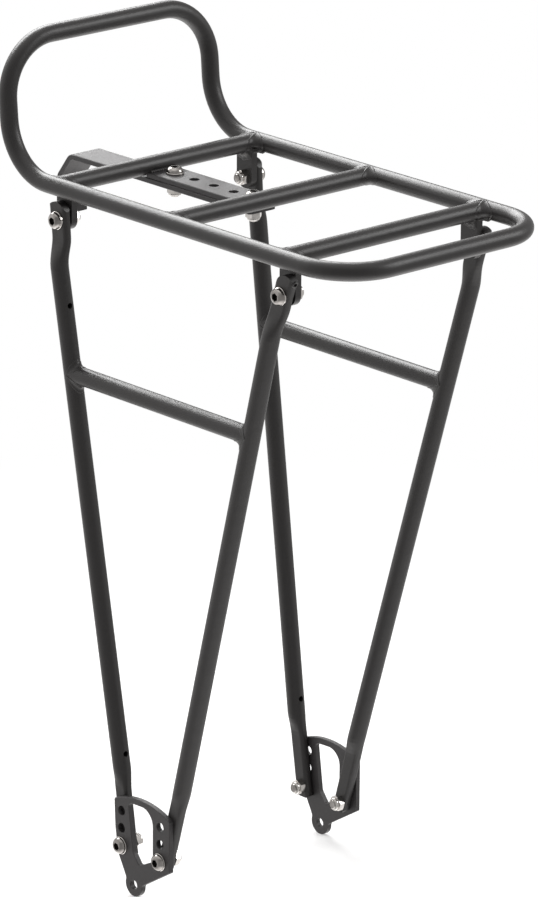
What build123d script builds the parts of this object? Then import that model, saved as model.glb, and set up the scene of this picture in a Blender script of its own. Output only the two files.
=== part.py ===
from build123d import *
import math
import os

os.makedirs("parts", exist_ok=True)

# ----------------------------------------------------------------------------
# Rear rack for a bicycle: a bent tubular platform with an upright front hoop,
# four bolted legs with a strut on each side, two height-adjusting dropout
# plates and a sliding front tang.
# Millimetres. +Z up, +X towards the tail of the bicycle, +Y to the bicycle's
# right-hand side. Origin: midpoint of the line through the eyelet
# holes of the two dropout plates.
# ----------------------------------------------------------------------------

# tube stock
TUBE_R = 5.0            # 10 mm outside diameter
BORE_R = 3.6            # 1.4 mm wall

# platform
RAIL_Z = 385.6          # height of the rail axes over the eyelets
RAIL_Y = 72.5           # half spacing of the rail axes
CROSS_X = (-62.5, 29.5, 118.3)   # front, middle and rear crossbar
TAIL_X = 166.2          # axis of the tail bar
TAIL_R = 30.0           # bend radius at the tail corners
HOOP_X0 = -69.7         # rail end, where the bend up to the hoop starts
HOOP_BEND_R = 32.0
HOOP_LEAN = 4.8         # degrees, uprights lean forward
HOOP_TOP_Z = 456.8      # axis of the hoop's top bar
HOOP_CORNER_R = 32.0
VENT_D = 3.2            # gas vents at the welded joints

# legs: straight lines X = a + b*Z, Y = c + d*Z
FRONT_A, FRONT_B = -7.12, -0.1565
REAR_A, REAR_B = 15.98, 0.2742
LEG_C, LEG_D = 63.215, 0.0252
LEG_BOTTOM_Z = 14.6     # cut end at the dropout plate
LOW_FLAT_Z = 50.0       # lower flat ends here
LOW_ROUND_Z = 63.0      # full round from here up
HIGH_ROUND_Z = 340.0    # full round up to here
HIGH_FLAT_Z = 357.0     # upper flat starts here
LEG_TOP_Z = 376.6
TOP_FLAT_W, TOP_FLAT_T = 12.4, 5.2
LOW_FLAT_W, LOW_FLAT_T = 9.8, 5.5
TOP_FLAT_Y = 69.4       # mid-plane of the upper flat
LOW_FLAT_Y = 65.25      # mid-plane of the lower flat
LEG_BOLT_Z = 366.6
REAR_BOLT_Z = 364.9     # the rear pair sits slightly lower
STRUT_Z = 282.73
STRUT_Y = LEG_C + LEG_D * STRUT_Z

# leg tabs under the crossbar ends
TAB_Y0, TAB_Y1 = 62.8, 66.8
TAB_W = 12.4

# dropout plates
PLATE_Y0, PLATE_Y1 = 68.0, 71.0
PLATE_COLS = (-10.3, 21.9)
PLATE_ROWS = (20.4, 30.6, 40.8)
PLATE_HOLE_D = 5.5
EYELET_D = 5.5
EYELET_R = 6.8

# stay plate and tang
STAY_W = 20.0
STAY_Z0, STAY_Z1 = 379.7, 382.7
STAY_HOLE_D = 5.7
STAY_HOLES = (-48.6, -32.6, -16.6, -0.6, 15.4)
TANG_T = 3.0
TANG_TOP = 379.6
TANG_REAR_X = 23.4
TANG_BEND_X = -125.1
TANG_FOOT_X = -135.4
TANG_KNEE_Z = 364.4
TANG_FOOT_Z = 342.2
TANG_HOLE_Z = 350.6
TANG_HOLE_D = 6.5
SLIDE_OUT, SLIDE_IN = 2.0, 24.0
SLOT_W = 5.6

# M5 hardware
BOLT_D = 5.0
HOLE_D = 5.5
HEAD_D, HEAD_H = 9.5, 2.75
HEX_AF, HEX_DEPTH = 4.0, 2.1
WASHER_D, WASHER_T, WASHER_BORE = 10.0, 1.0, 5.3
NUT_AF, NUT_H, NUT_COLLAR_H, NUT_BORE = 8.0, 3.3, 1.4, 5.1
THREAD_OUT = 0.9


def rod(p, q, r):
    p, q = Vector(*p), Vector(*q)
    pl = Plane(origin=p, z_dir=(q - p))
    return Solid.extrude(Face(Wire.make_circle(r, pl)), q - p)


def slab(x0, x1, y0, y1, z0, z1):
    return Pos((x0 + x1) / 2, (y0 + y1) / 2, (z0 + z1) / 2) * Box(x1 - x0, y1 - y0, z1 - z0)


def save(shape, name):
    solids = shape.solids()
    out = solids[0] if len(solids) == 1 else Compound(children=list(solids))
    out.label = name
    export_step(out, "parts/" + name + ".step")
    print(name, len(solids), "solid(s)", round(sum(s.volume for s in solids), 1), "mm3")


def mirrored(shape):
    return shape.mirror(Plane.XZ)


# ----------------------------------------------------------------------------
# platform loop: tail bar, rails and hoop bent from one tube
# ----------------------------------------------------------------------------
def loop_path():
    # right-hand half, from the middle of the tail bar to the middle of the hoop
    z = RAIL_Z
    p0 = Vector(TAIL_X, 0, z)
    p1 = Vector(TAIL_X, RAIL_Y - TAIL_R, z)
    s = math.sin(math.radians(45))
    pm = Vector(TAIL_X - TAIL_R + TAIL_R * s, RAIL_Y - TAIL_R + TAIL_R * s, z)
    p2 = Vector(TAIL_X - TAIL_R, RAIL_Y, z)
    p3 = Vector(HOOP_X0, RAIL_Y, z)
    turn = math.radians(90 - HOOP_LEAN)

    def base(a):
        return Vector(HOOP_X0 - HOOP_BEND_R * math.sin(a), RAIL_Y,
                      z + HOOP_BEND_R * (1 - math.cos(a)))

    p4 = base(turn)
    up = Vector(-math.cos(turn), 0, math.sin(turn))
    length = (HOOP_TOP_Z - p4.Z) / up.Z - HOOP_CORNER_R
    p5 = p4 + up * length
    inward = Vector(0, -1, 0)
    p6 = p5 + up * HOOP_CORNER_R + inward * HOOP_CORNER_R
    pk = p5 + up * (HOOP_CORNER_R * s) + inward * (HOOP_CORNER_R * (1 - s))
    p7 = Vector(p6.X, 0, p6.Z)
    edges = [Edge.make_line(p0, p1), Edge.make_three_point_arc(p1, pm, p2),
             Edge.make_line(p2, p3), Edge.make_three_point_arc(p3, base(turn / 2), p4),
             Edge.make_line(p4, p5), Edge.make_three_point_arc(p5, pk, p6),
             Edge.make_line(p6, p7)]
    return Wire(edges)


path = loop_path()
print("loop half length", round(path.length, 2))


def loop_solid(r):
    start = Plane(origin=path @ 0, z_dir=path % 0)
    half = Solid.sweep(Face(Wire.make_circle(r, start)), path)
    return half.fuse(mirrored(half)).clean()


platform_loop = loop_solid(TUBE_R) - loop_solid(BORE_R)
for cx in CROSS_X:
    for side in (-1, 1):
        platform_loop = platform_loop - rod((cx, side * (RAIL_Y - 7), RAIL_Z), (cx, side * RAIL_Y, RAIL_Z), VENT_D / 2)
save(platform_loop, "platform_loop")

# ----------------------------------------------------------------------------
# crossbars, coped to the rails
# ----------------------------------------------------------------------------
for cx, name in zip(CROSS_X, ("front", "middle", "rear")):
    bar = rod((cx, -RAIL_Y, RAIL_Z), (cx, RAIL_Y, RAIL_Z), TUBE_R)
    bar = bar - rod((cx, -RAIL_Y - 1, RAIL_Z), (cx, RAIL_Y + 1, RAIL_Z), BORE_R)
    for side in (-1, 1):
        bar = bar - rod((cx - 20, side * RAIL_Y, RAIL_Z), (cx + 20, side * RAIL_Y, RAIL_Z), TUBE_R)
    bar = max(bar.solids(), key=lambda k: k.volume)
    save(bar, "crossbar_" + name)


# ----------------------------------------------------------------------------
# legs
# ----------------------------------------------------------------------------
def split_points(kind, x, y, a1, a2, a3):
    # eight arcs or sides of one section: start, middle and end point of each
    pts = []
    if kind == "flat":
        w, t, r = a1, a2, a3
        hw, ht = w / 2, t / 2
        k = r * (1 - math.sqrt(0.5))
        quads = []
        for sx, sy in ((1, 1), (-1, 1), (-1, -1), (1, -1)):
            side_pt, cap_pt = (sx * hw, sy * (ht - r)), (sx * (hw - r), sy * ht)
            mid = (sx * (hw - k), sy * (ht - k))
            quads.append((side_pt, mid, cap_pt) if sx * sy > 0 else (cap_pt, mid, side_pt))
        for i, (p, m, q) in enumerate(quads):
            o = quads[i - 1][2]
            pts.append((o, ((o[0] + p[0]) / 2, (o[1] + p[1]) / 2), p))
            pts.append((p, m, q))
    else:
        rx = a1 * math.sqrt(1 + a2 * a2)
        ry = a1 * math.sqrt(1 + a3 * a3)
        side, cap = 9.0, 43.0
        cuts = [-side, side, 90 - cap, 90 + cap, 180 - side, 180 + side, 270 - cap, 270 + cap, 360 - side]
        for t0, t1 in zip(cuts, cuts[1:]):
            pts.append(tuple((rx * math.cos(math.radians(c)), ry * math.sin(math.radians(c)))
                             for c in (t0, (t0 + t1) / 2, t1)))
    return [tuple((x + px, y + py) for px, py in seg) for seg in pts]


def blend_wire(first, second, w, z):
    # a section part of the way from one outline to the other
    edges = []
    for s1, s2 in zip(first, second):
        p, m, q = [Vector(a[0] + (b[0] - a[0]) * w, a[1] + (b[1] - a[1]) * w, z) for a, b in zip(s1, s2)]
        bulge = (m - (p + q) * 0.5).length
        edges.append(Edge.make_line(p, q) if bulge < 1e-4 else Edge.make_three_point_arc(p, m, q))
    return Wire(edges)


def leg_core(a, b, top_x, top_slope, r, top_w, top_t, top_rad, low_w, low_t, low_rad, z_low, z_high,
             flare=0.0, flare_x=0.0):
    # one leg as ruled lofts through horizontal sections, +Y side; each change
    # from round to flat is eased in over several sections
    def X(z): return a + b * z
    def Y(z): return LEG_C + LEG_D * z
    def TX(z): return top_x + top_slope * (z - LEG_BOLT_Z)
    def ease(u): return u * u * (3 - 2 * u)
    def ring(z): return split_points("round", X(z), Y(z), r, b, LEG_D)
    def top(z, w=0.0, dx=0.0): return split_points("flat", TX(z) + dx, TOP_FLAT_Y, top_w + w, top_t, top_rad)
    def low(z): return split_points("flat", X(z), LOW_FLAT_Y, low_w, low_t, low_rad)
    wires = []
    if low_w:
        wires.append(blend_wire(low(z_low), low(z_low), 0, z_low))
        for u in (0.0, 0.2, 0.4, 0.6, 0.8):
            z = LOW_FLAT_Z + (LOW_ROUND_Z - LOW_FLAT_Z) * u
            wires.append(blend_wire(low(z), ring(z), ease(u), z))
    wires.append(blend_wire(ring(LOW_ROUND_Z), ring(LOW_ROUND_Z), 0, LOW_ROUND_Z))
    wires.append(blend_wire(ring(HIGH_ROUND_Z), ring(HIGH_ROUND_Z), 0, HIGH_ROUND_Z))
    for u in (0.15, 0.3, 0.45, 0.6, 0.75, 0.88, 1.0):
        z = HIGH_ROUND_Z + (HIGH_FLAT_Z - HIGH_ROUND_Z) * u
        wires.append(blend_wire(ring(z), top(z), ease(u), z))
    wires.append(blend_wire(top(z_high, flare, flare_x), top(z_high, flare, flare_x), 0, z_high))
    return Solid.make_loft(wires, ruled=True)


def leg(a, b, top_x, top_slope, col_x, vents, strut_dir, flare, flare_x, bolt_z):
    body = leg_core(a, b, top_x, top_slope, TUBE_R, TOP_FLAT_W, TOP_FLAT_T, 2.2,
                    LOW_FLAT_W, LOW_FLAT_T, 1.9, LEG_BOTTOM_Z, LEG_TOP_Z, flare, flare_x)
    # dome the upper end in side view
    xc = top_x + top_slope * (LEG_TOP_Z - LEG_BOLT_Z) + flare_x
    dome = (TOP_FLAT_W + flare) / 2 + 0.9
    zc = LEG_TOP_Z - dome
    body = body - (slab(xc - 12, xc + 12, 55, 80, zc, zc + 20) - rod((xc, 50, zc), (xc, 85, zc), dome))
    # round the corners of the lower end
    xc, rr = a + b * LEG_BOTTOM_Z, 1.6
    for side in (-1, 1):
        cxr = xc + side * (LOW_FLAT_W / 2 - rr) - side * 0.35
        czr = LEG_BOTTOM_Z + rr
        corner = slab(min(cxr, cxr + side * 6), max(cxr, cxr + side * 6), 55, 80, czr - 6, czr)
        body = body - (corner - rod((cxr, 50, czr), (cxr, 85, czr), rr))
    bore = leg_core(a, b, top_x, top_slope, BORE_R, 8.4, 2.0, 0.9, 0, 0, 0, 0, LEG_TOP_Z - 2.6)
    body = body - bore
    # bolt holes
    bolt_x = top_x + top_slope * (bolt_z - LEG_BOLT_Z)
    body = body - rod((bolt_x, 60, bolt_z), (bolt_x, 80, bolt_z), HOLE_D / 2)
    body = body - rod((col_x, 58, PLATE_ROWS[0]), (col_x, 72, PLATE_ROWS[0]), HOLE_D / 2)
    # vents
    for kind, vz in vents:
        vx = a + b * vz
        vy = LEG_C + LEG_D * vz
        if kind == "tube":
            body = body - rod((vx, vy, vz), (vx + 9, vy, vz), VENT_D / 2)
        else:
            vx = top_x + top_slope * (vz - LEG_BOLT_Z)
            body = body - rod((vx + 2, TOP_FLAT_Y, vz), (vx + 10, TOP_FLAT_Y, vz), 0.9)
    sx = a + b * STRUT_Z
    body = body - rod((sx, STRUT_Y, STRUT_Z), (sx + strut_dir * 9, STRUT_Y, STRUT_Z), VENT_D / 2)
    return body


FRONT_BOLT_X = CROSS_X[0] + 0.2
REAR_BOLT_X = CROSS_X[2] - 1.9
REAR_TOP_SLOPE = 0.32
front_leg = leg(FRONT_A, FRONT_B, FRONT_BOLT_X, -0.085, PLATE_COLS[0],
                (("tube", 320.7), ("tube", 71.7)), 1, 0.9, -0.15, LEG_BOLT_Z)
rear_leg = leg(REAR_A, REAR_B, REAR_BOLT_X + REAR_TOP_SLOPE * (LEG_BOLT_Z - REAR_BOLT_Z), REAR_TOP_SLOPE,
               PLATE_COLS[1], (("flat", 372.4),), -1, 0.6, -0.3, REAR_BOLT_Z)
save(front_leg, "leg_front_right")
save(mirrored(front_leg), "leg_front_left")
save(rear_leg, "leg_rear_right")
save(mirrored(rear_leg), "leg_rear_left")

# ----------------------------------------------------------------------------
# struts, coped to the legs
# ----------------------------------------------------------------------------
fx = FRONT_A + FRONT_B * STRUT_Z
rx = REAR_A + REAR_B * STRUT_Z
strut = rod((fx, STRUT_Y, STRUT_Z), (rx, STRUT_Y, STRUT_Z), TUBE_R)
strut = strut - rod((fx - 1, STRUT_Y, STRUT_Z), (rx + 1, STRUT_Y, STRUT_Z), BORE_R)
for a, b in ((FRONT_A, FRONT_B), (REAR_A, REAR_B)):
    strut = strut - rod((a + b * 200, LEG_C + LEG_D * 200, 200),
                        (a + b * 340, LEG_C + LEG_D * 340, 340), TUBE_R)
strut = max(strut.solids(), key=lambda k: k.volume)
save(strut, "strut_right")
save(mirrored(strut), "strut_left")


# ----------------------------------------------------------------------------
# leg tabs: a lug with a round foot, coped under the crossbar and the rail
# ----------------------------------------------------------------------------
def tab(cx, bx, bz):
    foot = rod((bx, TAB_Y0, bz), (bx, TAB_Y1, bz), TAB_W / 2)
    neck = slab(bx - TAB_W / 2, bx + TAB_W / 2, TAB_Y0, TAB_Y1, bz, RAIL_Z - 3.2)
    t = foot + neck
    t = t - rod((cx, 40, RAIL_Z), (cx, 90, RAIL_Z), TUBE_R)
    t = t - rod((cx - 20, RAIL_Y, RAIL_Z), (cx + 20, RAIL_Y, RAIL_Z), TUBE_R + 0.05)
    t = t - rod((bx, 50, bz), (bx, 80, bz), HOLE_D / 2)
    return max(t.solids(), key=lambda k: k.volume)


for cx, bx, bz, name in ((CROSS_X[0], FRONT_BOLT_X, LEG_BOLT_Z, "front"),
                         (CROSS_X[2], REAR_BOLT_X, REAR_BOLT_Z, "rear")):
    t = tab(cx, bx, bz)
    save(t, "leg_tab_" + name + "_right")
    save(mirrored(t), "leg_tab_" + name + "_left")


# ----------------------------------------------------------------------------
# dropout plates
# ----------------------------------------------------------------------------
def plate_outline():
    arc = Edge.make_three_point_arc(Vector(29.8, 45.9), Vector(7.0, 51.4), Vector(-16.4, 46.6))
    pts = [(-16.4, 46.6), (-15.6, 30.0), (-13.3, 15.4), (-7.3, 4.6), (-5.0, 0.0),
           (5.0, 0.0), (29.8, 15.8), (29.8, 45.9)]
    edges = [arc] + [Edge.make_line(Vector(*p), Vector(*q)) for p, q in zip(pts, pts[1:])]
    body = Sketch() + Face(Wire(edges)) + Circle(EYELET_R)
    return body


sk = plate_outline()
corner_r = []
for v in sk.vertices():
    x, y = v.X, v.Y
    if abs(x + 16.4) < 0.3 and abs(y - 46.6) < 0.3:
        corner_r.append((v, 1.5))
    elif abs(x - 29.8) < 0.3:
        corner_r.append((v, 1.2))
    elif abs(x + 13.3) < 0.3 and abs(y - 15.4) < 0.3:
        corner_r.append((v, 7.0))
    elif abs(x + 15.6) < 0.3 and abs(y - 30.0) < 0.3:
        corner_r.append((v, 20.0))
    elif math.hypot(x, y) < EYELET_R + 0.2:
        corner_r.append((v, 2.6))
for v, r in corner_r:
    near = min(sk.vertices(), key=lambda k: math.hypot(k.X - v.X, k.Y - v.Y))
    try:
        sk = fillet(near, r)
    except Exception as err:
        print("outline corner", round(v.X, 1), round(v.Y, 1), "kept sharp")

win = [((-4.5, 47.4), 2.6), ((15.8, 48.3), 9.0), ((15.8, 18.4), 1.6), ((4.6, 12.6), 1.6), ((-0.5, 19.0), 4.0)]
window = Sketch() + make_face(Polyline([p for p, _ in win], close=True))
for (wx, wy), r in win:
    near = min(window.vertices(), key=lambda k: math.hypot(k.X - wx, k.Y - wy))
    window = fillet(near, r)
sk = sk - window
for cx in PLATE_COLS:
    for cz in PLATE_ROWS:
        sk = sk - Pos(cx, cz) * Circle(PLATE_HOLE_D / 2)
sk = sk - Circle(EYELET_D / 2)
flat = extrude(sk, amount=PLATE_Y1 - PLATE_Y0)
# sketch X stays X, sketch Y becomes Z, thickness runs inwards along -Y
plate = Plane(origin=(0, PLATE_Y1, 0), x_dir=(1, 0, 0), z_dir=(0, -1, 0)) * flat
outer_edges = [e for e in plate.edges() if abs(e.center().Y - PLATE_Y1) < 1e-3]
try:
    plate_c = chamfer(outer_edges, 0.3)
    if len(plate_c.solids()) == 1:
        plate = plate_c
except Exception:
    print("plate edges left plain")
save(plate, "dropout_plate_right")
save(mirrored(plate), "dropout_plate_left")

# ----------------------------------------------------------------------------
# stay plate: strip welded between the front and middle crossbar
# ----------------------------------------------------------------------------
stay = slab(CROSS_X[0] + 1.8, CROSS_X[1] - 1.8, -STAY_W / 2, STAY_W / 2, STAY_Z0, STAY_Z1)
stay = chamfer([e for e in stay.edges() if abs(abs(e.center().Y) - STAY_W / 2) < 0.01
                and abs(e.center().X - (CROSS_X[0] + CROSS_X[1]) / 2) < 1], 0.35)
for cx in CROSS_X[:2]:
    stay = stay - rod((cx, -30, RAIL_Z), (cx, 30, RAIL_Z), TUBE_R)
for hx in STAY_HOLES:
    stay = stay - rod((hx, 0, 370), (hx, 0, 390), STAY_HOLE_D / 2)
save(max(stay.solids(), key=lambda k: k.volume), "stay_plate")

# ----------------------------------------------------------------------------
# tang: strap with two clamp slots, cranked down to a foot with a bolt hole
# ----------------------------------------------------------------------------
zc = TANG_TOP - TANG_T / 2
tang_line = FilletPolyline([(TANG_REAR_X, 0, zc), (TANG_BEND_X, 0, zc),
                            (TANG_FOOT_X, 0, TANG_KNEE_Z), (TANG_FOOT_X, 0, TANG_FOOT_Z)], radius=6.0)
tang_wire = tang_line.wire() if hasattr(tang_line, "wire") else tang_line
strap = Rectangle(STAY_W, TANG_T)
strap = chamfer(strap.vertices(), 0.35)
section = Plane(origin=(TANG_REAR_X, 0, zc), x_dir=(0, 1, 0), z_dir=(-1, 0, 0)) * strap
tang = sweep(section, path=tang_wire)
for bx in (STAY_HOLES[0], STAY_HOLES[4]):
    x0, x1 = bx - SLIDE_IN - 0.2, bx + SLIDE_OUT + 0.2
    tang = tang - rod((x0, 0, 370), (x0, 0, 390), SLOT_W / 2)
    tang = tang - rod((x1, 0, 370), (x1, 0, 390), SLOT_W / 2)
    tang = tang - slab(x0, x1, -SLOT_W / 2, SLOT_W / 2, 370, 390)
tang = tang - rod((TANG_FOOT_X - 10, 0, TANG_HOLE_Z), (TANG_FOOT_X + 10, 0, TANG_HOLE_Z), TANG_HOLE_D / 2)


def corner_cut(x, y, z, axis, r, sx, sy):
    # removes the sharp corner outside a quarter round of radius r
    if axis == "Z":
        c = slab(min(x, x - sx * r) - (1 if sx < 0 else 0), max(x, x - sx * r) + (1 if sx > 0 else 0),
                 min(y, y - sy * r) - (1 if sy < 0 else 0), max(y, y - sy * r) + (1 if sy > 0 else 0), z - 5, z + 5)
        return c - rod((x - sx * r, y - sy * r, z - 6), (x - sx * r, y - sy * r, z + 6), r)
    c = slab(x - 5, x + 5, min(y, y - sx * r) - (1 if sx < 0 else 0), max(y, y - sx * r) + (1 if sx > 0 else 0),
             min(z, z - sy * r) - (1 if sy < 0 else 0), max(z, z - sy * r) + (1 if sy > 0 else 0))
    return c - rod((x - 6, y - sx * r, z - sy * r), (x + 6, y - sx * r, z - sy * r), r)


for side in (-1, 1):
    tang = tang - corner_cut(TANG_REAR_X, side * STAY_W / 2, zc, "Z", 3.0, 1, side)
    tang = tang - corner_cut(TANG_FOOT_X, side * STAY_W / 2, TANG_FOOT_Z, "X", 0.8, side, -1)
save(tang, "tang")


# ----------------------------------------------------------------------------
# hardware, modelled on +Z with z = 0 at the bearing face and moved into place
# ----------------------------------------------------------------------------
def bolt(grip):
    # head above z = 0, shank below it to -grip
    prof = Wire([Edge.make_line(Vector(0, 0, 0), Vector(HEAD_D / 2, 0, 0)),
                 Edge.make_line(Vector(HEAD_D / 2, 0, 0), Vector(HEAD_D / 2, 0, 0.35)),
                 Edge.make_three_point_arc(Vector(HEAD_D / 2, 0, 0.35), Vector(4.05, 0, 1.85), Vector(2.7, 0, HEAD_H)),
                 Edge.make_line(Vector(2.7, 0, HEAD_H), Vector(0, 0, HEAD_H)),
                 Edge.make_line(Vector(0, 0, HEAD_H), Vector(0, 0, 0))])
    head = Solid.revolve(Face(prof), 360, Axis.Z)
    hexa = extrude(Pos(0, 0, HEAD_H - HEX_DEPTH) * RegularPolygon(HEX_AF / 2, 6, major_radius=False), amount=5)
    head = head - hexa
    shank = Pos(0, 0, -grip / 2) * Cylinder(BOLT_D / 2, grip)
    tip = [e for e in shank.edges() if e.center().Z < -grip + 0.1]
    shank = chamfer(tip, 0.5)
    return (head + shank).solids()[0]


def washer():
    disc = Cylinder(WASHER_D / 2, WASHER_T)
    disc = chamfer([e for e in disc.edges() if e.geom_type == GeomType.CIRCLE], 0.18)
    return Pos(0, 0, WASHER_T / 2) * (disc - Cylinder(WASHER_BORE / 2, WASHER_T + 1))


def nut():
    # bears at z = 0, grows to +z
    body = extrude(RegularPolygon(NUT_AF / 2, 6, major_radius=False), amount=NUT_H)
    prof = Wire([Edge.make_line(Vector(0, 0, 0), Vector(4.15, 0, 0)),
                 Edge.make_line(Vector(4.15, 0, 0), Vector(4.8, 0, 0.4)),
                 Edge.make_line(Vector(4.8, 0, 0.4), Vector(4.8, 0, NUT_H - 0.45)),
                 Edge.make_line(Vector(4.8, 0, NUT_H - 0.45), Vector(4.05, 0, NUT_H)),
                 Edge.make_line(Vector(4.05, 0, NUT_H), Vector(0, 0, NUT_H)),
                 Edge.make_line(Vector(0, 0, NUT_H), Vector(0, 0, 0))])
    body = body & Solid.revolve(Face(prof), 360, Axis.Z)
    collar = Pos(0, 0, NUT_H + NUT_COLLAR_H / 2) * Cylinder(3.55, NUT_COLLAR_H)
    collar = fillet([e for e in collar.edges() if e.center().Z > NUT_H + NUT_COLLAR_H - 0.05], 0.55)
    n = body + collar
    return (n - Pos(0, 0, 3) * Cylinder(NUT_BORE / 2, 20)).solids()[0]


def put(shape, origin, axis, turn=0.0):
    ref = (1, 0, 0) if abs(axis[0]) < 0.5 else (0, 1, 0)
    return Plane(origin=origin, x_dir=ref, z_dir=axis) * (Rot(0, 0, turn) * shape)


def group(items):
    return Compound(children=[s for it in items for s in it.solids()])


NUT_ALL = NUT_H + NUT_COLLAR_H
# leg tops: head and washer outside the leg, nut inside the tab
top_out = TOP_FLAT_Y + TOP_FLAT_T / 2
g = top_out + WASHER_T - TAB_Y0 + NUT_ALL + THREAD_OUT
bolts, washers, nuts = [], [], []
turns = (12, 47, -8, 31)
corners = ((FRONT_BOLT_X, LEG_BOLT_Z, 1), (FRONT_BOLT_X, LEG_BOLT_Z, -1),
           (REAR_BOLT_X, REAR_BOLT_Z, 1), (REAR_BOLT_X, REAR_BOLT_Z, -1))
for i, (bx, bz, side) in enumerate(corners):
    bolts.append(put(bolt(g), (bx, side * (top_out + WASHER_T), bz), (0, side, 0), turns[i]))
    washers.append(put(washer(), (bx, side * top_out, bz), (0, side, 0)))
    nuts.append(put(nut(), (bx, side * TAB_Y0, bz), (0, -side, 0), turns[i] + 9))
save(group(bolts), "leg_top_bolts")
save(group(washers), "leg_top_washers")
save(group(nuts), "leg_top_nuts")

# dropout plates: head and washer outside the plate, nut inside the leg
low_in = LOW_FLAT_Y - LOW_FLAT_T / 2
g = PLATE_Y1 + WASHER_T - low_in + NUT_ALL + THREAD_OUT
bolts, washers, nuts = [], [], []
for i, (bx, side) in enumerate(((PLATE_COLS[0], 1), (PLATE_COLS[0], -1), (PLATE_COLS[1], 1), (PLATE_COLS[1], -1))):
    z = PLATE_ROWS[0]
    bolts.append(put(bolt(g), (bx, side * (PLATE_Y1 + WASHER_T), z), (0, side, 0), turns[3 - i]))
    washers.append(put(washer(), (bx, side * PLATE_Y1, z), (0, side, 0)))
    nuts.append(put(nut(), (bx, side * low_in, z), (0, -side, 0), turns[i] + 20))
save(group(bolts), "dropout_bolts")
save(group(washers), "dropout_washers")
save(group(nuts), "dropout_nuts")

# tang clamp: head and washer on the stay plate, washer and nut under the tang
under = TANG_TOP - TANG_T - 0.1
g = STAY_Z1 + WASHER_T - (under - WASHER_T) + NUT_ALL + THREAD_OUT
bolts, washers, lower, nuts = [], [], [], []
for i, bx in enumerate((STAY_HOLES[0], STAY_HOLES[4])):
    bolts.append(put(bolt(g), (bx, 0, STAY_Z1 + WASHER_T), (0, 0, 1), turns[i]))
    washers.append(put(washer(), (bx, 0, STAY_Z1), (0, 0, 1)))
    lower.append(put(washer(), (bx, 0, under), (0, 0, -1)))
    nuts.append(put(nut(), (bx, 0, under - WASHER_T), (0, 0, -1), turns[i + 1]))
save(group(bolts), "tang_bolts")
save(group(washers), "tang_top_washers")
save(group(lower), "tang_lower_washers")
save(group(nuts), "tang_nuts")
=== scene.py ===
import math

import bpy
import numpy as np
from mathutils import Matrix, Vector


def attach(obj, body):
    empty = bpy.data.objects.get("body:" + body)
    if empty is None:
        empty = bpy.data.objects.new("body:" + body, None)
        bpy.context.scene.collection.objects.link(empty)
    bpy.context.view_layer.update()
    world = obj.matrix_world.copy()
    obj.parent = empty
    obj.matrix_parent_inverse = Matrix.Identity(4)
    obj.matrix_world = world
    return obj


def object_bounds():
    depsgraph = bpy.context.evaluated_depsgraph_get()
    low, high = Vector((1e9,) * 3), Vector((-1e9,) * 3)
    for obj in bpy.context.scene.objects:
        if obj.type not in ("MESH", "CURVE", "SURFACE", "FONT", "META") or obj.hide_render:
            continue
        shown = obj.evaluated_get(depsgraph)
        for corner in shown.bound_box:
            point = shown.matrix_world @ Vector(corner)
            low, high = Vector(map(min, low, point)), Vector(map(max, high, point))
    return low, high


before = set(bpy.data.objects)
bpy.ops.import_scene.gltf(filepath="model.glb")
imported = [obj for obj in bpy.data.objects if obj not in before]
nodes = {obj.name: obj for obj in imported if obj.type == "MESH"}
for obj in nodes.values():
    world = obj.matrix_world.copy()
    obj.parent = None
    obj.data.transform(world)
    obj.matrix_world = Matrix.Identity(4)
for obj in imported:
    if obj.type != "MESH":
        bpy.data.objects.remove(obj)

LO0, HI0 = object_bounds()
MM = 0.001

# ---------------------------------------------------------------------------
# sizes shared with the CAD part, in millimetres
# ---------------------------------------------------------------------------
TUBE_R = 5.0
RAIL_Z, RAIL_Y = 385.6, 72.5
CROSS_X = (-62.5, 29.5, 118.3)
FRONT_A, FRONT_B = -7.12, -0.1565
REAR_A, REAR_B = 15.98, 0.2742
LEG_C, LEG_D = 63.215, 0.0252
STRUT_Z = 282.73
STRUT_Y = LEG_C + LEG_D * STRUT_Z
LEG_BOLT_Z = 366.6
TOP_FLAT_Y = 69.4
FRONT_BOLT_X = CROSS_X[0] + 0.2
REAR_BOLT_X = CROSS_X[2] - 1.9
REAR_BOLT_Z = 364.9
TAB_Y0, TAB_Y1, TAB_W = 62.8, 66.8, 12.4
PLATE_COLS = (-10.3, 21.9)
PLATE_ROW = 20.4


# ---------------------------------------------------------------------------
# materials
# ---------------------------------------------------------------------------
def new_material(name):
    m = bpy.data.materials.new(name)
    m.use_nodes = True
    nt = m.node_tree
    nt.nodes.clear()
    out = nt.nodes.new("ShaderNodeOutputMaterial")
    bsdf = nt.nodes.new("ShaderNodeBsdfPrincipled")
    nt.links.new(bsdf.outputs["BSDF"], out.inputs["Surface"])
    tc = nt.nodes.new("ShaderNodeTexCoord")
    return m, nt, bsdf, tc


def noise(nt, tc, scale, detail=3.0, rough=0.5, stretch=None):
    n = nt.nodes.new("ShaderNodeTexNoise")
    n.inputs["Scale"].default_value = scale
    n.inputs["Detail"].default_value = detail
    n.inputs["Roughness"].default_value = rough
    src = tc.outputs["Object"]
    if stretch:
        mp = nt.nodes.new("ShaderNodeMapping")
        mp.inputs["Scale"].default_value = stretch
        nt.links.new(src, mp.inputs["Vector"])
        src = mp.outputs["Vector"]
    nt.links.new(src, n.inputs["Vector"])
    return n.outputs["Fac"]


def remap(nt, sock, a, b, lo=0.25, hi=0.75):
    r = nt.nodes.new("ShaderNodeMapRange")
    r.inputs["From Min"].default_value = lo
    r.inputs["From Max"].default_value = hi
    r.inputs["To Min"].default_value = a
    r.inputs["To Max"].default_value = b
    nt.links.new(sock, r.inputs["Value"])
    return r.outputs["Result"]


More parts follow.
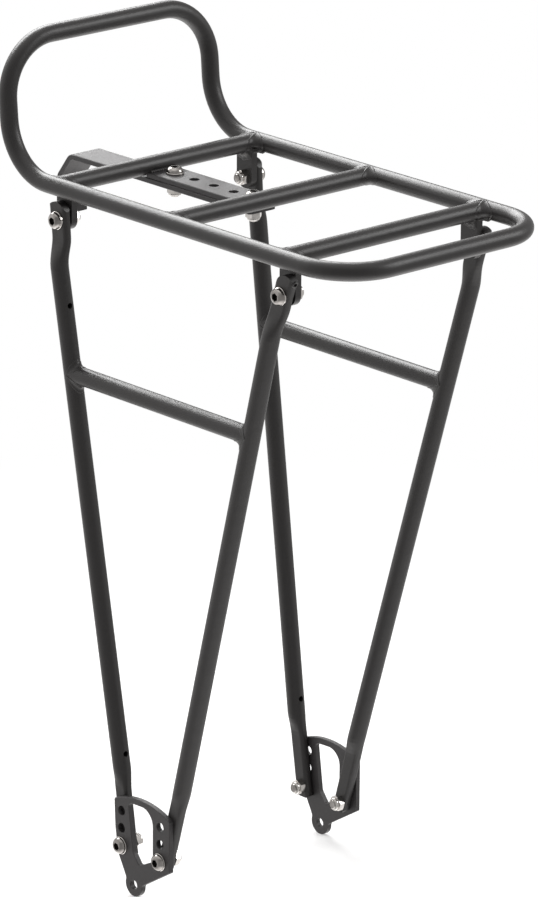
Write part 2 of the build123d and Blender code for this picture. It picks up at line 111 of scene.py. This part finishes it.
def two_tone(nt, sock, c0, c1, p0=0.35, p1=0.65):
    r = nt.nodes.new("ShaderNodeValToRGB")
    e = r.color_ramp.elements
    e[0].position, e[1].position = p0, p1
    e[0].color = (*c0, 1)
    e[1].color = (*c1, 1)
    nt.links.new(sock, r.inputs["Fac"])
    return r.outputs["Color"]


def bump(nt, sock, strength, distance, below=None):
    b = nt.nodes.new("ShaderNodeBump")
    b.inputs["Strength"].default_value = strength
    b.inputs["Distance"].default_value = distance
    nt.links.new(sock, b.inputs["Height"])
    if below is not None:
        nt.links.new(below, b.inputs["Normal"])
    return b.outputs["Normal"]


def coat_material(name, dark, light, rough, spec, grain, grain_size, peel=0.25):
    # painted metal: fine powder grain over a slow orange-peel wave
    m, nt, bsdf, tc = new_material(name)
    fine = noise(nt, tc, 1.0 / grain_size, 4.0, 0.62)
    slow = noise(nt, tc, 170.0, 2.0, 0.5)
    wide = noise(nt, tc, 26.0, 2.0, 0.5)
    nt.links.new(two_tone(nt, fine, dark, light, 0.3, 0.7), bsdf.inputs["Base Color"])
    r1 = remap(nt, fine, rough - 0.05, rough + 0.05)
    add = nt.nodes.new("ShaderNodeMath")
    add.operation = "ADD"
    nt.links.new(r1, add.inputs[0])
    nt.links.new(remap(nt, wide, -0.025, 0.025), add.inputs[1])
    nt.links.new(add.outputs[0], bsdf.inputs["Roughness"])
    n1 = bump(nt, slow, peel, 0.0004)
    nt.links.new(bump(nt, fine, grain, 0.00012, n1), bsdf.inputs["Normal"])
    bsdf.inputs["Specular IOR Level"].default_value = spec
    bsdf.inputs["IOR"].default_value = 1.5
    return m


def steel_material(name, c0, c1, r0, r1, scratch=0.05):
    m, nt, bsdf, tc = new_material(name)
    fine = noise(nt, tc, 2600.0, 3.0, 0.6)
    turned = noise(nt, tc, 900.0, 2.0, 0.5, (1.0, 1.0, 3.5))
    cloud = noise(nt, tc, 240.0, 2.0, 0.5)
    nt.links.new(two_tone(nt, cloud, c0, c1), bsdf.inputs["Base Color"])
    nt.links.new(remap(nt, turned, r0, r1), bsdf.inputs["Roughness"])
    n1 = bump(nt, turned, scratch, 0.00008)
    nt.links.new(bump(nt, fine, scratch, 0.00003, n1), bsdf.inputs["Normal"])
    bsdf.inputs["Metallic"].default_value = 1.0
    return m


powder = coat_material("powder_coat", (0.0125, 0.0115, 0.0115), (0.021, 0.0192, 0.0190), 0.40, 0.50, 0.22, 0.00045)
plate = coat_material("plate_coat", (0.017, 0.0155, 0.0162), (0.044, 0.0410, 0.0420), 0.47, 0.50, 0.45, 0.00038, 0.12)
steel = steel_material("stainless", (0.56, 0.54, 0.52), (0.74, 0.715, 0.69), 0.07, 0.16)
# painted shade: a darker copy of the same stainless for the bolt heads, so the heads read darker than the washers
bolt_head_shade_steel = steel_material("stainless_heads_painted_shade", (0.24, 0.228, 0.218), (0.40, 0.382, 0.366), 0.08, 0.18)
thread_steel = steel_material("stainless_thread", (0.42, 0.40, 0.38), (0.58, 0.56, 0.53), 0.20, 0.34, 0.1)
# painted shade: near-black steel for the socket liners, standing in for the shade inside each hexagon socket
socket_painted_shade = steel_material("socket_painted_shade", (0.045, 0.042, 0.040), (0.085, 0.080, 0.076), 0.35, 0.55, 0.1)

m_nylon, nt, bsdf, tc = new_material("nylon")
spots = noise(nt, tc, 1500.0, 3.0, 0.6)
nt.links.new(two_tone(nt, spots, (0.50, 0.49, 0.46), (0.66, 0.65, 0.61)), bsdf.inputs["Base Color"])
nt.links.new(remap(nt, spots, 0.36, 0.52), bsdf.inputs["Roughness"])
nt.links.new(bump(nt, spots, 0.15, 0.00008), bsdf.inputs["Normal"])

POWDER = ["platform_loop", "crossbar_front", "crossbar_middle", "crossbar_rear",
          "leg_front_left", "leg_front_right", "leg_rear_left", "leg_rear_right",
          "strut_left", "strut_right", "leg_tab_front_left", "leg_tab_front_right",
          "leg_tab_rear_left", "leg_tab_rear_right"]
PLATE = ["dropout_plate_left", "dropout_plate_right", "stay_plate", "tang"]
for n, o in nodes.items():
    # bolts get the darker painted-shade copy of the stainless; washers and nuts get the plain one
    mat = powder if n in POWDER else plate if n in PLATE else bolt_head_shade_steel if n.endswith("_bolts") else steel
    o.data.materials.clear()
    o.data.materials.append(mat)


# ---------------------------------------------------------------------------
# mesh helpers, points in millimetres
# ---------------------------------------------------------------------------
def make_piece(name, verts, faces, mat, body="rack", smooth=True):
    me = bpy.data.meshes.new(name)
    me.from_pydata([tuple(float(c) * MM for c in v) for v in verts], [], faces)
    me.validate()
    me.materials.append(mat)
    if smooth:
        me.shade_smooth()
    me.update()
    ob = bpy.data.objects.new(name, me)
    bpy.context.scene.collection.objects.link(ob)
    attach(ob, body)
    return ob


def ring_faces(n, m, closed_section=True):
    # n sections round a closed loop, m points per section
    faces = []
    mm = m if closed_section else m - 1
    for i in range(n):
        i2 = (i + 1) % n
        for j in range(mm):
            j2 = (j + 1) % m
            faces.append((i * m + j, i * m + j2, i2 * m + j2, i2 * m + j))
    return faces


def unit(v):
    v = np.array(v, float)
    return v / np.linalg.norm(v)


def weld_fillet(name, P, d, Q, e, rf=4.6, raise_by=0.22, collar=0.9, n=144, m=11, seed=0.0):
    """Smooth fillet where a tube that leaves P along d meets a tube with axis Q + t e, both TUBE_R."""
    P, Q, d, e = np.array(P, float), np.array(Q, float), unit(d), unit(e)
    u = unit(e - d * np.dot(e, d))
    v = np.cross(d, u)
    R = TUBE_R + raise_by
    verts = []
    for i in range(n):
        th = 2 * math.pi * (i + 0.5) / n
        r = rf * (1 + 0.05 * math.sin(3 * th + seed) + 0.035 * math.sin(7 * th + 2.1 * seed))
        radial = math.cos(th) * u + math.sin(th) * v
        base = P + (R + r) * radial - Q
        w = base - np.dot(base, e) * e
        dw = d - np.dot(d, e) * e
        a, b, c = np.dot(dw, dw), 2 * np.dot(w, dw), np.dot(w, w) - (R + r) ** 2
        disc = max(b * b - 4 * a * c, 0.0)
        s = (-b + math.sqrt(disc)) / (2 * a)
        C = P + s * d + (R + r) * radial
        axis1 = P + s * d
        t = np.dot(C - Q, e)
        axis2 = Q + t * e
        n1, n2 = unit(axis1 - C), unit(axis2 - C)       # from the ball centre towards each tube
        cosang = max(-1.0, min(1.0, float(np.dot(n1, n2))))
        ang = math.acos(cosang)
        sec = []
        away1 = d
        away2 = unit(-np.cross(np.cross(-n2, n1 - n2 * cosang if ang > 1e-4 else d), -n2)) if ang > 1e-4 else -d
        # on the run-out tube the section dives under the surface a little beyond its contact
        flow = collar * (1 + 0.12 * math.sin(5 * th + seed))
        sec.append(C + n1 * (r + raise_by + 0.25) + away1 * (flow + 0.55))
        sec.append(C + n1 * (r + raise_by * 0.45) + away1 * (flow + 0.25))
        sec.append(C + n1 * (r + 0.02) + away1 * flow * 0.7)
        for j in range(m):
            k = j / (m - 1)
            if ang > 1e-4:
                dirn = (math.sin((1 - k) * ang) * n1 + math.sin(k * ang) * n2) / math.sin(ang)
            else:
                dirn = n1
            sec.append(C + dirn * r)
        tang = unit(np.cross(np.cross(n2, n1), n2)) if ang > 1e-4 else -d
        sec.append(C + n2 * (r + raise_by + 0.30) - tang * 0.9)
        # inner corner, well inside the metal
        sec.append(C + unit(n1 + n2) * (r / max(math.cos(ang / 2), 0.3) + 1.2))
        verts += sec
    return make_piece(name, verts, ring_faces(n, m + 5), powder)


for cx, tag in zip(CROSS_X, ("front", "middle", "rear")):
    for s, side in ((1, "right"), (-1, "left")):
        weld_fillet(f"weld_crossbar_{tag}_{side}", (cx, s * RAIL_Y, RAIL_Z), (0, -s, 0),
                    (cx, s * RAIL_Y, RAIL_Z), (1, 0, 0), rf=4.6, raise_by=0.30, collar=1.5, seed=cx * 0.05 + s)
for s, side in ((1, "right"), (-1, "left")):
    for (a, b), dx, tag in (((FRONT_A, FRONT_B), 1, "front"), ((REAR_A, REAR_B), -1, "rear")):
        x = a + b * STRUT_Z
        weld_fillet(f"weld_strut_{tag}_{side}", (x, s * STRUT_Y, STRUT_Z), (dx, 0, 0),
                    (x, s * STRUT_Y, STRUT_Z), (b, s * LEG_D, 1.0), rf=3.6, raise_by=0.32, seed=x * 0.03 + s)


def bead(name, path, radius, ripple=0.06, pitch=1.3, m=14, taper=1.2):
    """A weld bead: a rounded ripple along a line of points, its ends drawn in."""
    pts = np.array(path, float)
    seg = np.linalg.norm(np.diff(pts, axis=0), axis=1)
    s = np.concatenate([[0], np.cumsum(seg)])
    n = max(12, int(s[-1] / 0.22))
    t = np.linspace(0, s[-1], n)
    c = np.stack([np.interp(t, s, pts[:, k]) for k in range(3)], 1)
    tan = np.gradient(c, axis=0)
    verts = []
    ref = np.array((0.0, 0.0, 1.0))
    for i in range(n):
        d = unit(tan[i])
        u = unit(np.cross(ref, d)) if abs(np.dot(ref, d)) < 0.95 else unit(np.cross((0, 1, 0), d))
        v = np.cross(d, u)
        edge = min(t[i], s[-1] - t[i]) / taper
        r = radius * math.sqrt(max(0.02, 1 - max(0.0, 1 - edge) ** 2)) * (1 + ripple * math.sin(2 * math.pi * t[i] / pitch))
        for j in range(m):
            a = 2 * math.pi * j / m
            verts.append(c[i] + r * (math.cos(a) * u + math.sin(a) * v))
    faces = [(i * m + j, i * m + (j + 1) % m, (i + 1) * m + (j + 1) % m, (i + 1) * m + j)
             for i in range(n - 1) for j in range(m)]
    faces.append(tuple(range(m - 1, -1, -1)))
    faces.append(tuple(range((n - 1) * m, n * m)))
    return make_piece(name, verts, faces, powder)


def tab_fillet(name, cx, bx, s, rmax=4.0, raise_by=0.25, half=5.9, m=10):
    """Hollow fillet between the inner face of a leg tab and the underside of its crossbar."""
    lim = {1: half + (bx - cx), -1: half - (bx - cx)}
    a0 = -180 + math.degrees(math.acos(min(0.999, lim[-1] / (TUBE_R + 0.4)))) if lim[-1] < TUBE_R + 0.4 else -168
    a1 = -math.degrees(math.acos(min(0.999, lim[1] / (TUBE_R + 0.4)))) if lim[1] < TUBE_R + 0.4 else -12
    n = 60
    verts = []
    for i in range(n + 1):
        k = i / n
        th = math.radians(a0 + (a1 - a0) * k)
        co, si = math.cos(th), math.sin(th)
        room = lim[1 if co > 0 else -1] / max(abs(co), 1e-3) - TUBE_R
        r = max(0.4, min(rmax, room)) * (1 + 0.05 * math.sin(9 * k * math.pi + cx))
        R = TUBE_R + raise_by * (1 + 0.4 * math.sin(13 * k * math.pi + bx))
        y0 = TAB_Y0 - raise_by
        prof = [(TUBE_R - 0.35, y0 - r - 0.7), (R - 0.02, y0 - r - 0.12)]
        for j in range(m + 1):
            f = math.pi / 2 * j / m
            prof.append((R + r - r * math.cos(f), y0 - r + r * math.sin(f)))
        prof += [(R + r + 0.25, TAB_Y0 + 0.3), (TUBE_R - 0.35, TAB_Y0 + 0.3)]
        verts += [(cx + rad * co, s * y, RAIL_Z + rad * si) for rad, y in prof]
    q = len(prof)
    faces = [(i * q + j, i * q + (j + 1) % q, (i + 1) * q + (j + 1) % q, (i + 1) * q + j)
             for i in range(n) for j in range(q)]
    faces.append(tuple(range(q - 1, -1, -1)))
    faces.append(tuple(range(n * q, (n + 1) * q)))
    return make_piece(name, verts, faces, powder)


# welds that join each leg tab to the crossbar and the rail
for bx, cx, tag in ((FRONT_BOLT_X, CROSS_X[0], "front"), (REAR_BOLT_X, CROSS_X[2], "rear")):
    for s, side in ((1, "right"), (-1, "left")):
        tab_fillet(f"weld_tab_inner_{tag}_{side}", cx, bx, s)
        zr = RAIL_Z - math.sqrt(TUBE_R ** 2 - (RAIL_Y - 68.3) ** 2)
        bead(f"weld_tab_outer_{tag}_{side}",
             [(bx - 8.6, s * 68.3, zr - 0.35), (bx - 5.2, s * 67.7, zr + 0.1), (bx, s * 67.4, zr + 0.6),
              (bx + 5.2, s * 67.7, zr + 0.1), (bx + 8.6, s * 68.3, zr - 0.35)], 1.5, taper=3.0)
        for k, end in ((-1, "fore"), (1, "aft")):
            bead(f"weld_tab_edge_{end}_{tag}_{side}",
                 [(bx + k * 5.0, s * 62.9, 382.1), (bx + k * 5.2, s * 66.2, 382.1), (bx + k * 6.2, s * 68.6, 382.2),
                  (bx + k * 8.2, s * 70.8, 380.9)], 1.5, taper=2.2)

# beads along both ends of the stay plate
for cx, dx, tag in ((CROSS_X[0], 1, "front"), (CROSS_X[1], -1, "middle")):
    xt = cx + dx * math.sqrt(TUBE_R ** 2 - 2.9 ** 2)
    bead(f"weld_stay_top_{tag}", [(xt + dx * 0.35, -9.6, RAIL_Z - 2.75), (xt + dx * 0.35, 9.6, RAIL_Z - 2.75)], 1.25, 0.13, 1.6)
    bead(f"weld_stay_under_{tag}", [(cx + dx * 1.9, -9.3, RAIL_Z - 4.75), (cx + dx * 1.9, 9.3, RAIL_Z - 4.75)], 0.85)


# raised rim round the vent on each rear leg's top flat
def vent_rim(name, s):
    z0 = 372.4
    bx = REAR_BOLT_X + 0.32 * (z0 - REAR_BOLT_Z)
    hw, ht, rr = 6.2, 2.6, 2.2
    prof = [(0.84, -0.6), (0.86, 0.42), (0.98, 0.60), (1.25, 0.68), (1.6, 0.62), (1.9, 0.36), (2.05, 0.05), (2.1, -0.45)]
    n = 64
    verts = []
    for i in range(n):
        a = 2 * math.pi * i / n
        for rad, h in prof:
            dy, dz = rad * math.cos(a), rad * math.sin(a)
            over = max(0.0, abs(dy) - (ht - rr))
            over = min(over, rr * 0.98)
            sx = hw - rr + math.sqrt(rr * rr - over * over)
            nx, ny = math.sqrt(rr * rr - over * over) / rr, math.copysign(over / rr, dy)
            verts.append((bx + 0.32 * dz + sx + h * nx, s * (TOP_FLAT_Y + dy + h * ny), z0 + dz))
    return make_piece(name, verts, ring_faces(n, len(prof), False), powder)


vent_rim("vent_rim_rear_right", 1)
vent_rim("vent_rim_rear_left", -1)


# ---------------------------------------------------------------------------
# thread ridges at each bolt end and the nylon ring inside each nut
# ---------------------------------------------------------------------------
NUT_ALL, THREAD_OUT = 3.3 + 1.4, 0.9


def frame_of(axis):
    a = unit(axis)
    ref = np.array((1.0, 0, 0)) if abs(a[0]) < 0.5 else np.array((0, 1.0, 0))
    u = unit(ref - a * np.dot(ref, a))
    return u, np.cross(a, u), a


def thread_end(name, places):
    # places: (nut bearing point, direction out of the nut)
    verts, faces = [], []
    pitch, n = 0.8, 40
    for org, axis in places:
        u, v, a = frame_of(axis)
        z1 = NUT_ALL + THREAD_OUT
        z0 = z1 - 2.4
        base = len(verts)
        turns = (z1 - 0.25 - z0) / pitch
        steps = int(turns * n)
        prof = [(2.40, -0.30), (2.54, -0.07), (2.54, 0.07), (2.40, 0.30)]
        for i in range(steps + 1):
            th = 2 * math.pi * i / n
            zc = z0 + pitch * i / n
            fade = min(1.0, (z1 - 0.25 - zc) / 0.5 + 0.15)
            for r, dz in prof:
                rr = 2.40 + (r - 2.40) * fade
                verts.append(np.array(org) + rr * (math.cos(th) * u + math.sin(th) * v) + (zc + dz) * a)
        for i in range(steps):
            for j in range(3):
                p = base + i * 4 + j
                faces.append((p, p + 1, p + 5, p + 4))
    return make_piece(name, verts, faces, thread_steel, "rack")


def nylon_rings(name, places):
    verts, faces = [], []
    n = 48
    prof = [(2.50, -0.55), (2.50, -0.02), (2.62, 0.04), (2.80, 0.05), (2.98, 0.0), (3.0, -0.5)]
    for org, axis in places:
        u, v, a = frame_of(axis)
        base = len(verts)
        for i in range(n):
            th = 2 * math.pi * i / n
            for r, dz in prof:
                verts.append(np.array(org) + r * (math.cos(th) * u + math.sin(th) * v) + (NUT_ALL + dz) * a)
        m = len(prof)
        for i in range(n):
            i2 = (i + 1) % n
            for j in range(m - 1):
                faces.append((base + i * m + j, base + i * m + j + 1, base + i2 * m + j + 1, base + i2 * m + j))
    return make_piece(name, verts, faces, m_nylon, "rack")


top_bolts = ((FRONT_BOLT_X, LEG_BOLT_Z), (REAR_BOLT_X, REAR_BOLT_Z))
top_places = [((bx, s * TAB_Y0, bz), (0, -s, 0)) for bx, bz in top_bolts for s in (1, -1)]
low_in = 65.25 - 5.5 / 2
low_places = [((bx, s * low_in, PLATE_ROW), (0, -s, 0)) for bx in PLATE_COLS for s in (1, -1)]
tang_places = [((bx, 0, 379.6 - 3.0 - 0.1 - 1.0), (0, 0, -1)) for bx in (-48.6, 15.4)]
for tag, places in (("leg_top", top_places), ("dropout", low_places), ("tang", tang_places)):
    thread_end(f"threads_{tag}", places)
    nylon_rings(f"nylon_{tag}", places)


def socket_shade_cups(name, places, across=4.0, floor_at=0.65, top_at=2.35):
    # painted shade: near-black liners inside the hexagon sockets stand in for the shade there; places: (bearing point,
    # direction of the head, turn)
    verts, faces = [], []
    for org, axis, turn in places:
        u, v, a = frame_of(axis)
        base = len(verts)
        k = 1 / math.cos(math.radians(30))
        for rad, z in (((across / 2 - 0.01) * k, floor_at + 0.01), ((across / 2 - 0.01) * k, top_at),
                       ((across / 2 - 0.10) * k, top_at), ((across / 2 - 0.10) * k, floor_at + 0.08)):
            for i in range(6):
                th = math.radians(turn + 60 * i)
                verts.append(np.array(org, float) + rad * (math.cos(th) * u + math.sin(th) * v) + z * a)
        for ring in range(3):
            for i in range(6):
                p, q = base + ring * 6, base + (ring + 1) * 6
                faces.append((p + i, p + (i + 1) % 6, q + (i + 1) % 6, q + i))
        faces.append(tuple(base + i for i in (5, 4, 3, 2, 1, 0)))
        faces.append(tuple(base + 18 + i for i in range(6)))
    return make_piece(name, verts, faces, socket_painted_shade, "rack", smooth=False)


TURNS = (12, 47, -8, 31)
four = [(bx, bz, s) for bx, bz in top_bolts for s in (1, -1)]
# near-black liners that paint the shade inside every bolt's hexagon socket
socket_shade_cups("socket_shade_leg_top", [((bx, s * 73.0, bz), (0, s, 0), TURNS[i]) for i, (bx, bz, s) in enumerate(four)])
four = [(bx, s) for bx in PLATE_COLS for s in (1, -1)]
socket_shade_cups("socket_shade_dropout", [((bx, s * 72.0, PLATE_ROW), (0, s, 0), TURNS[3 - i]) for i, (bx, s) in enumerate(four)])
socket_shade_cups("socket_shade_tang", [((bx, 0, 383.7), (0, 0, 1), TURNS[i]) for i, bx in enumerate((-48.6, 15.4))])

# ---------------------------------------------------------------------------
# floor: a pale studio sweep that runs out to white
# ---------------------------------------------------------------------------
FLOOR_Z = LO0.z - 0.0001
n, rings = 96, 24
verts = [(20.0, 0.0, FLOOR_Z / MM)]
for k in range(1, rings + 1):
    r = 1000.0 * k / rings
    verts += [(20 + r * math.cos(2 * math.pi * i / n), r * math.sin(2 * math.pi * i / n), FLOOR_Z / MM) for i in range(n)]
faces = [(0, 1 + i, 1 + (i + 1) % n) for i in range(n)]
for k in range(rings - 1):
    a, b = 1 + k * n, 1 + (k + 1) * n
    faces += [(a + i, b + i, b + (i + 1) % n, a + (i + 1) % n) for i in range(n)]
me = bpy.data.meshes.new("floor")
me.from_pydata([tuple(c * MM for c in v) for v in verts], [], faces)
floor = bpy.data.objects.new("floor", me)
bpy.context.scene.collection.objects.link(floor)
m = bpy.data.materials.new("floor_paper")
m.use_nodes = True
nt = m.node_tree
nt.nodes.clear()
out = nt.nodes.new("ShaderNodeOutputMaterial")
diff = nt.nodes.new("ShaderNodeBsdfDiffuse")
emi = nt.nodes.new("ShaderNodeEmission")
emi.inputs["Color"].default_value = (1, 1, 1, 1)
emi.inputs["Strength"].default_value = 1.0
mix = nt.nodes.new("ShaderNodeMixShader")
tc = nt.nodes.new("ShaderNodeTexCoord")
paper = noise(nt, tc, 400.0, 3.0, 0.6)
nt.links.new(two_tone(nt, paper, (0.90, 0.90, 0.90), (0.93, 0.93, 0.93)), diff.inputs["Color"])
dist = nt.nodes.new("ShaderNodeVectorMath")
dist.operation = "DISTANCE"
dist.inputs[1].default_value = (0.02, 0.0, FLOOR_Z)
nt.links.new(tc.outputs["Object"], dist.inputs[0])
fade = nt.nodes.new("ShaderNodeMapRange")
fade.interpolation_type = "SMOOTHSTEP"
fade.inputs["From Min"].default_value = 0.10
fade.inputs["From Max"].default_value = 0.75
fade.inputs["To Min"].default_value = 0.35
fade.inputs["To Max"].default_value = 1.0
nt.links.new(dist.outputs["Value"], fade.inputs["Value"])
nt.links.new(fade.outputs["Result"], mix.inputs["Fac"])
nt.links.new(diff.outputs[0], mix.inputs[1])
nt.links.new(emi.outputs[0], mix.inputs[2])
nt.links.new(mix.outputs[0], out.inputs["Surface"])
me.materials.append(m)
floor.visible_glossy = False

# ---------------------------------------------------------------------------
# studio: white surround behind, dimmer in front, two soft boxes
# ---------------------------------------------------------------------------
world = bpy.data.worlds.new("studio")
bpy.context.scene.world = world
world.use_nodes = True
nt = world.node_tree
nt.nodes.clear()
out = nt.nodes.new("ShaderNodeOutputWorld")
tc = nt.nodes.new("ShaderNodeTexCoord")
def heading(azimuth, elevation):
    a, e = math.radians(azimuth), math.radians(elevation)
    return (math.cos(a) * math.cos(e), math.sin(a) * math.cos(e), math.sin(e))


def glow(azimuth, elevation, half_angle, strength):
    # a soft patch of brightness round one direction
    d = nt.nodes.new("ShaderNodeVectorMath")
    d.operation = "DOT_PRODUCT"
    d.inputs[1].default_value = heading(azimuth, elevation)
    nt.links.new(tc.outputs["Generated"], d.inputs[0])
    g = nt.nodes.new("ShaderNodeMapRange")
    g.interpolation_type = "SMOOTHSTEP"
    g.inputs["From Min"].default_value = math.cos(math.radians(half_angle))
    g.inputs["From Max"].default_value = 1.0
    g.inputs["To Min"].default_value = 0.0
    g.inputs["To Max"].default_value = strength
    nt.links.new(d.outputs["Value"], g.inputs["Value"])
    return g.outputs["Result"]


AMBIENT = 0.446
GLOWS = [                       # azimuth, elevation, half angle, strength
    (188, 8, 62, 0.329),        # behind, left
    (-132, 5, 62, 0.306),       # left
    (48, 5, 62, 0.194),         # right
    (0, -90, 62, 1.507),        # table below
    (138, -45, 55, 0.737),      # table behind
    (0, 90, 50, 0.676),         # ceiling
    (-132, 48, 50, 0.142),
]
total = None
for g in GLOWS:
    if g[3] <= 0:
        continue
    r = glow(*g)
    if total is None:
        total = r
    else:
        add = nt.nodes.new("ShaderNodeMath")
        add.operation = "ADD"
        nt.links.new(total, add.inputs[0])
        nt.links.new(r, add.inputs[1])
        total = add.outputs[0]
room = nt.nodes.new("ShaderNodeBackground")
room.inputs["Color"].default_value = (1.0, 0.985, 0.975, 1)
add = nt.nodes.new("ShaderNodeMath")
add.operation = "ADD"
add.inputs[0].default_value = 0.0
add.inputs[1].default_value = AMBIENT
if total is not None:
    nt.links.new(total, add.inputs[0])
nt.links.new(add.outputs[0], room.inputs["Strength"])
white = nt.nodes.new("ShaderNodeBackground")
white.inputs["Color"].default_value = (1, 1, 1, 1)
white.inputs["Strength"].default_value = 1.0
path = nt.nodes.new("ShaderNodeLightPath")
mix = nt.nodes.new("ShaderNodeMixShader")
nt.links.new(path.outputs["Is Camera Ray"], mix.inputs["Fac"])
nt.links.new(room.outputs[0], mix.inputs[1])
nt.links.new(white.outputs[0], mix.inputs[2])
nt.links.new(mix.outputs[0], out.inputs["Surface"])

CENTRE = Vector((0.03, 0.0, 0.24))


def softbox(name, direction, distance, sx, sy, radiance, colour=(1, 1, 1)):
    d = Vector(direction).normalized()
    li = bpy.data.lights.new(name, "AREA")
    li.shape = "RECTANGLE"
    li.size, li.size_y = sx, sy
    li.energy = radiance * math.pi * sx * sy
    li.color = colour
    ob = bpy.data.objects.new(name, li)
    ob.location = CENTRE + d * distance
    ob.rotation_mode = "QUATERNION"
    ob.rotation_quaternion = d.to_track_quat("Z", "Y")
    bpy.context.scene.collection.objects.link(ob)
    return ob


BOX_BACK, BOX_RIGHT = 10.9, 4.83
softbox("box_back_left", (-0.72, 0.22, 0.60), 1.9, 1.5, 0.9, BOX_BACK)
softbox("box_right", (0.53, 0.637, 0.52), 1.7, 0.8, 0.8, BOX_RIGHT)

# ---------------------------------------------------------------------------
# camera at the photograph's angle
# ---------------------------------------------------------------------------
cam = bpy.data.cameras.new("camera")
cam.lens = 225.2694
cam.sensor_width = 36.0
cam.sensor_fit = "AUTO"
cam.clip_start, cam.clip_end = 0.05, 50.0
cam_ob = bpy.data.objects.new("camera", cam)
bpy.context.scene.collection.objects.link(cam_ob)
right = Vector((0.669132503950598, 0.7430957202225896, 0.008393017554709246))
up = Vector((-0.23844900366941732, 0.203991081325749, 0.9494891844505727))
fwd = Vector((-0.7038492486362865, 0.6373353821391233, -0.3136874971491731))
rot = Matrix((right, up, -fwd)).transposed()
cam_ob.matrix_world = Matrix.Translation((2.16636184, -1.93490176, 1.19733030)) @ rot.to_4x4()
bpy.context.scene.camera = cam_ob
bpy.context.scene.view_settings.view_transform = "Standard"
bpy.context.scene.view_settings.look = "None"
